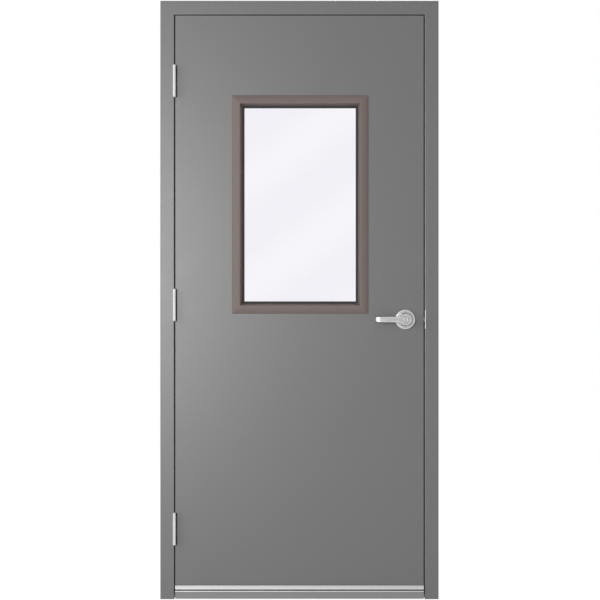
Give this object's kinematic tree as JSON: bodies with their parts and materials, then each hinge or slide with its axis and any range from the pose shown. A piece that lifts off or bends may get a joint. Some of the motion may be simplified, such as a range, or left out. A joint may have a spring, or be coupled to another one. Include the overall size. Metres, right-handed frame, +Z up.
{
  "type": "glazed hollow-metal door with frame",
  "caption": "Grey hollow-metal door with a bronze-framed glass vision panel, butt hinges, return levers and a floor sweep, hung in its mitred pressed steel frame.",
  "frame": {"origin": "floor level, in the middle of the frame's width and depth, centre of the floor anchors' holes", "axes": "+X along the wall towards the latch, +Y through the wall away from the pull side, +Z up"},
  "size_m": [1.016, 0.2032, 2.1844],
  "materials": {
    "frame_paint": "satin paint",
    "door_paint": "satin paint",
    "inner_steel": "galvanised",
    "bronze_paint": "satin bronze paint",
    "hinge_steel": "satin",
    "screw_steel": "satin",
    "lock_satin": "satin chrome look",
    "box_plastic": "matte",
    "dark_rubber": "matte",
    "glass": "clear",
    "sweep_aluminium": "mill",
    "flap_rubber": "matte"
  },
  "bodies": {
    "frame": {"hinge_jamb": "frame_paint", "strike_jamb": "frame_paint", "header": "frame_paint", "frame_hinge_plates": "inner_steel", "strike_reinforcement": "inner_steel", "strike_box": "box_plastic", "strike_plate": "lock_satin", "strike_screws": "screw_steel", "hinge_floor_anchor": "inner_steel", "strike_floor_anchor": "inner_steel", "wall_anchors": "inner_steel", "silencers": "dark_rubber", "bottom_hinge_frame_leaf": "hinge_steel", "middle_hinge_frame_leaf": "hinge_steel", "top_hinge_frame_leaf": "hinge_steel", "bottom_hinge_pin": "hinge_steel", "middle_hinge_pin": "hinge_steel", "top_hinge_pin": "hinge_steel", "frame_hinge_screws": "screw_steel"},
    "door": {"front_skin": "door_paint", "back_skin": "door_paint", "top_channel": "door_paint", "bottom_channel": "door_paint", "stiffeners": "inner_steel", "door_hinge_plates": "inner_steel", "lock_reinforcement": "inner_steel", "lite_liner": "inner_steel", "bottom_hinge_door_leaf": "hinge_steel", "middle_hinge_door_leaf": "hinge_steel", "top_hinge_door_leaf": "hinge_steel", "door_hinge_screws": "screw_steel", "lite_frame_front": "bronze_paint", "lite_frame_back": "bronze_paint", "lite_screws": "bronze_paint", "glass": "glass", "gasket_front": "dark_rubber", "gasket_back": "dark_rubber", "setting_blocks": "dark_rubber", "sweep_holder": "sweep_aluminium", "sweep_flap": "flap_rubber", "sweep_screws": "screw_steel", "lock_chassis": "inner_steel", "latch_case": "inner_steel", "latch_faceplate": "lock_satin", "faceplate_screws": "screw_steel", "outside_rose": "lock_satin", "inside_rose": "lock_satin", "rose_bolts": "screw_steel"},
    "levers": {"outside_lever": "lock_satin", "inside_lever": "lock_satin", "spindle": "inner_steel", "key_cylinder": "lock_satin"},
    "key_plug": {"key_plug": "lock_satin"},
    "turn_button": {"turn_button": "lock_satin"},
    "latch": {"latch_bolt": "lock_satin"}
  },
  "joints": [
    {"name": "door_swing", "type": "hinge", "parent": "frame", "child": "door", "pos_m": [-0.4556, -0.0904, 0], "axis": [0, 0, -1], "range_deg": [0, 170]},
    {"name": "lever_turn", "type": "hinge", "parent": "door", "child": "levers", "pos_m": [0.3855, -0.04915, 1.021], "axis": [0, -1, 0], "range_deg": [0, 45], "stiffness_Nm_per_rad": 1.5, "springref_deg": -34.38},
    {"name": "latch_slide", "type": "slide", "parent": "door", "child": "latch", "axis": [-1, 0, 0], "range_m": [0, 0.0127]},
    {"name": "key_turn", "type": "hinge", "parent": "levers", "child": "key_plug", "pos_m": [0.3855, -0.04915, 1.021], "axis": [0, -1, 0], "range_deg": [0, 90]},
    {"name": "button_turn", "type": "hinge", "parent": "levers", "child": "turn_button", "pos_m": [0.3855, -0.04915, 1.021], "axis": [0, 1, 0], "range_deg": [0, 90]}
  ],
  "couplings": [
    {"joint": "latch_slide", "follows": "lever_turn", "m_per_rad": 0.01617}
  ]
}
